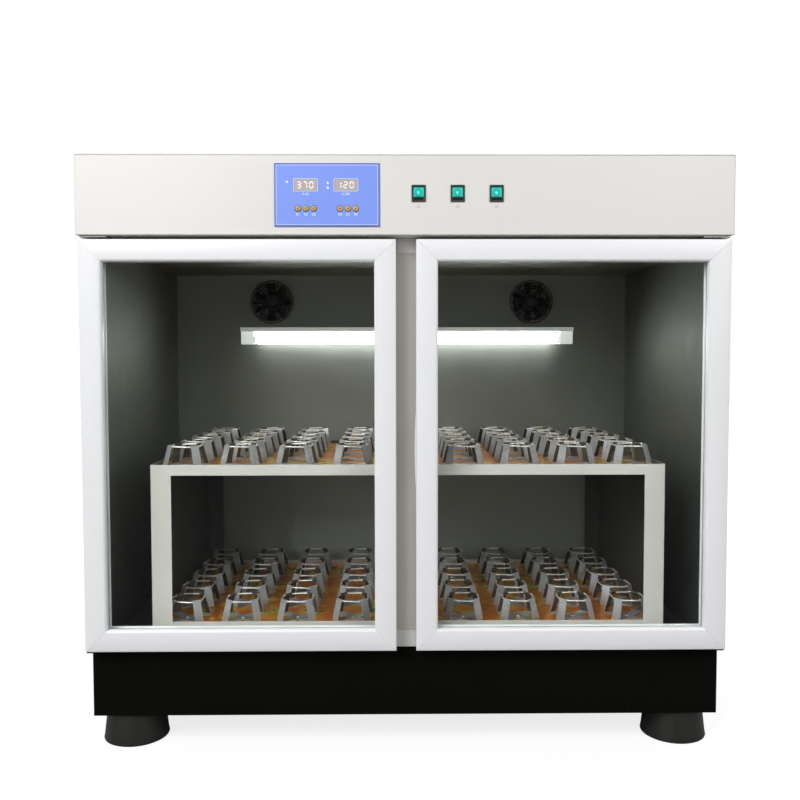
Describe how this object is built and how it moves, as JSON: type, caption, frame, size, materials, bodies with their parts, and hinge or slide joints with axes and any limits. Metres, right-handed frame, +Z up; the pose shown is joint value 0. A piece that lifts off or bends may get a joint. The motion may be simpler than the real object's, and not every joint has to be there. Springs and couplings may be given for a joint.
{
  "type": "shaking incubator",
  "caption": "Floor-standing orbital shaking incubator with two hinged glass doors, a control header and a two-tier platform of spring flask clamps.",
  "frame": {"origin": "centre of the object's box on the plane that its feet stand on", "axes": "+X to the right as seen from the front, -Y to the front with the doors, +Z up"},
  "size_m": [1.2, 0.7246, 1.115],
  "materials": {
    "cream_paint": "satin cream-grey powder paint",
    "insulated_wall": "satin cream-grey paint over foam-filled sheet",
    "white_frame": "satin white paint on aluminium section",
    "black_paint": "black powder paint",
    "brushed_stainless": "brushed stainless sheet",
    "platform_paint": "satin cream-grey paint",
    "black_rubber": "matt moulded rubber",
    "black_plastic": "moulded plastic",
    "blue_panel_film": "blue printed panel with a thin white line",
    "board": "circuit board with lit number displays",
    "button_gold": "gold-yellow button caps",
    "rocker_teal": "translucent teal rocker",
    "clear_glass": "clear double glazing",
    "lamp_batten_paint": "white lamp batten",
    "lamp_glow": "lit fluorescent tube",
    "clamp_plate_zinc": "yellow-chromate zinc plate with spring-steel clamps",
    "machined_steel": "machined steel",
    "cast_aluminium": "cast and machined aluminium"
  },
  "bodies": {
    "root": {"header_shell": "cream_paint", "top_cover": "cream_paint", "rear_panel": "cream_paint", "front_frame": "cream_paint", "centre_mullion": "cream_paint", "cabinet_casing": "insulated_wall", "chamber_liner": "brushed_stainless", "base_housing": "black_paint", "foot_front_left": "black_rubber", "foot_front_right": "black_rubber", "foot_rear_left": "black_rubber", "foot_rear_right": "black_rubber", "drive_belt": "black_rubber", "fan_guard_left": "black_plastic", "fan_guard_right": "black_plastic", "fan_housing_left": "black_plastic", "fan_housing_right": "black_plastic", "power_inlet": "black_plastic", "switch_bezel_left": "black_plastic", "switch_bezel_middle": "black_plastic", "switch_bezel_right": "black_plastic", "lamp_batten": "lamp_batten_paint", "lamp_tube": "lamp_glow", "control_panel": "blue_panel_film", "control_board": "board", "drive_deck": "cast_aluminium", "drive_motor": "cast_aluminium", "heater_element": "machined_steel", "hinge_plate_left_top": "machined_steel", "hinge_plate_left_bottom": "black_paint", "hinge_plate_right_top": "machined_steel", "hinge_plate_right_bottom": "black_paint"},
    "left_door": {"left_door_frame": "white_frame", "left_door_glass": "clear_glass", "left_door_gasket": "black_rubber"},
    "right_door": {"right_door_frame": "white_frame", "right_door_glass": "clear_glass", "right_door_gasket": "black_rubber", "right_door_pull": "white_frame"},
    "switch_left": {"rocker_left": "rocker_teal"},
    "switch_middle": {"rocker_middle": "rocker_teal"},
    "switch_right": {"rocker_right": "rocker_teal"},
    "push_1": {"button_1": "button_gold"},
    "push_2": {"button_2": "button_gold"},
    "push_3": {"button_3": "button_gold"},
    "push_4": {"button_4": "button_gold"},
    "push_5": {"button_5": "button_gold"},
    "push_6": {"button_6": "button_gold"},
    "fan_left": {"fan_impeller_left": "black_plastic"},
    "fan_right": {"fan_impeller_right": "black_plastic"},
    "motor_drive": {"motor_pulley": "machined_steel"},
    "crank": {"main_crank": "machined_steel"},
    "idler_front_left": {"idler_crank_front_left": "machined_steel"},
    "idler_front_right": {"idler_crank_front_right": "machined_steel"},
    "idler_rear_left": {"idler_crank_rear_left": "machined_steel"},
    "idler_rear_right": {"idler_crank_rear_right": "machined_steel"},
    "platform": {"platform_frame": "platform_paint", "lower_tray": "platform_paint", "upper_clamp_plate": "clamp_plate_zinc", "lower_clamp_plate": "clamp_plate_zinc"}
  },
  "joints": [
    {"name": "left_door_hinge", "type": "hinge", "parent": "root", "child": "left_door", "pos_m": [-0.585, -0.3357, 0.2004], "axis": [0, 0, -1], "range_deg": [0, 110]},
    {"name": "right_door_hinge", "type": "hinge", "parent": "root", "child": "right_door", "pos_m": [0.585, -0.3357, 0.2004], "axis": [0, 0, 1], "range_deg": [0, 110]},
    {"name": "rocker_left_tilt", "type": "hinge", "parent": "root", "child": "switch_left", "pos_m": [0.0228, -0.3517, 1.0443], "axis": [1, 0, 0], "range_deg": [0, 14]},
    {"name": "rocker_middle_tilt", "type": "hinge", "parent": "root", "child": "switch_middle", "pos_m": [0.0935, -0.3517, 1.0443], "axis": [1, 0, 0], "range_deg": [0, 14]},
    {"name": "rocker_right_tilt", "type": "hinge", "parent": "root", "child": "switch_right", "pos_m": [0.1643, -0.3517, 1.0443], "axis": [1, 0, 0], "range_deg": [0, 14]},
    {"name": "push_1_travel", "type": "slide", "parent": "root", "child": "push_1", "axis": [0, 1, 0], "range_m": [0, 0.0012], "stiffness_N_per_m": 800},
    {"name": "push_2_travel", "type": "slide", "parent": "root", "child": "push_2", "axis": [0, 1, 0], "range_m": [0, 0.0012], "stiffness_N_per_m": 800},
    {"name": "push_3_travel", "type": "slide", "parent": "root", "child": "push_3", "axis": [0, 1, 0], "range_m": [0, 0.0012], "stiffness_N_per_m": 800},
    {"name": "push_4_travel", "type": "slide", "parent": "root", "child": "push_4", "axis": [0, 1, 0], "range_m": [0, 0.0012], "stiffness_N_per_m": 800},
    {"name": "push_5_travel", "type": "slide", "parent": "root", "child": "push_5", "axis": [0, 1, 0], "range_m": [0, 0.0012], "stiffness_N_per_m": 800},
    {"name": "push_6_travel", "type": "slide", "parent": "root", "child": "push_6", "axis": [0, 1, 0], "range_m": [0, 0.0012], "stiffness_N_per_m": 800},
    {"name": "fan_left_spin", "type": "hinge", "parent": "root", "child": "fan_left", "pos_m": [-0.3335, 0.3171, 0.8925], "axis": [0, 1, 0], "continuous": true},
    {"name": "fan_right_spin", "type": "hinge", "parent": "root", "child": "fan_right", "pos_m": [0.3335, 0.3171, 0.8925], "axis": [0, 1, 0], "continuous": true},
    {"name": "crank_spin", "type": "hinge", "parent": "root", "child": "crank", "pos_m": [0, -0.01431, 0.203], "axis": [0, 0, 1], "continuous": true},
    {"name": "platform_turn", "type": "hinge", "parent": "crank", "child": "platform", "pos_m": [0.00545, -0.0227, 0.212], "axis": [0, 0, 1], "continuous": true},
    {"name": "motor_spin", "type": "hinge", "parent": "root", "child": "motor_drive", "pos_m": [0.23, -0.01431, 0.128], "axis": [0, 0, 1], "continuous": true},
    {"name": "idler_front_left_spin", "type": "hinge", "parent": "root", "child": "idler_front_left", "pos_m": [-0.38, -0.17931, 0.203], "axis": [0, 0, 1], "continuous": true},
    {"name": "idler_front_right_spin", "type": "hinge", "parent": "root", "child": "idler_front_right", "pos_m": [0.38, -0.17931, 0.203], "axis": [0, 0, 1], "continuous": true},
    {"name": "idler_rear_left_spin", "type": "hinge", "parent": "root", "child": "idler_rear_left", "pos_m": [-0.38, 0.15069, 0.203], "axis": [0, 0, 1], "continuous": true},
    {"name": "idler_rear_right_spin", "type": "hinge", "parent": "root", "child": "idler_rear_right", "pos_m": [0.38, 0.15069, 0.203], "axis": [0, 0, 1], "continuous": true}
  ],
  "couplings": [
    {"joint": "platform_turn", "follows": "crank_spin", "ratio": -1},
    {"joint": "motor_spin", "follows": "crank_spin", "ratio": 3.3333},
    {"joint": "idler_front_left_spin", "follows": "crank_spin", "ratio": 1},
    {"joint": "idler_front_right_spin", "follows": "crank_spin", "ratio": 1},
    {"joint": "idler_rear_left_spin", "follows": "crank_spin", "ratio": 1},
    {"joint": "idler_rear_right_spin", "follows": "crank_spin", "ratio": 1}
  ]
}
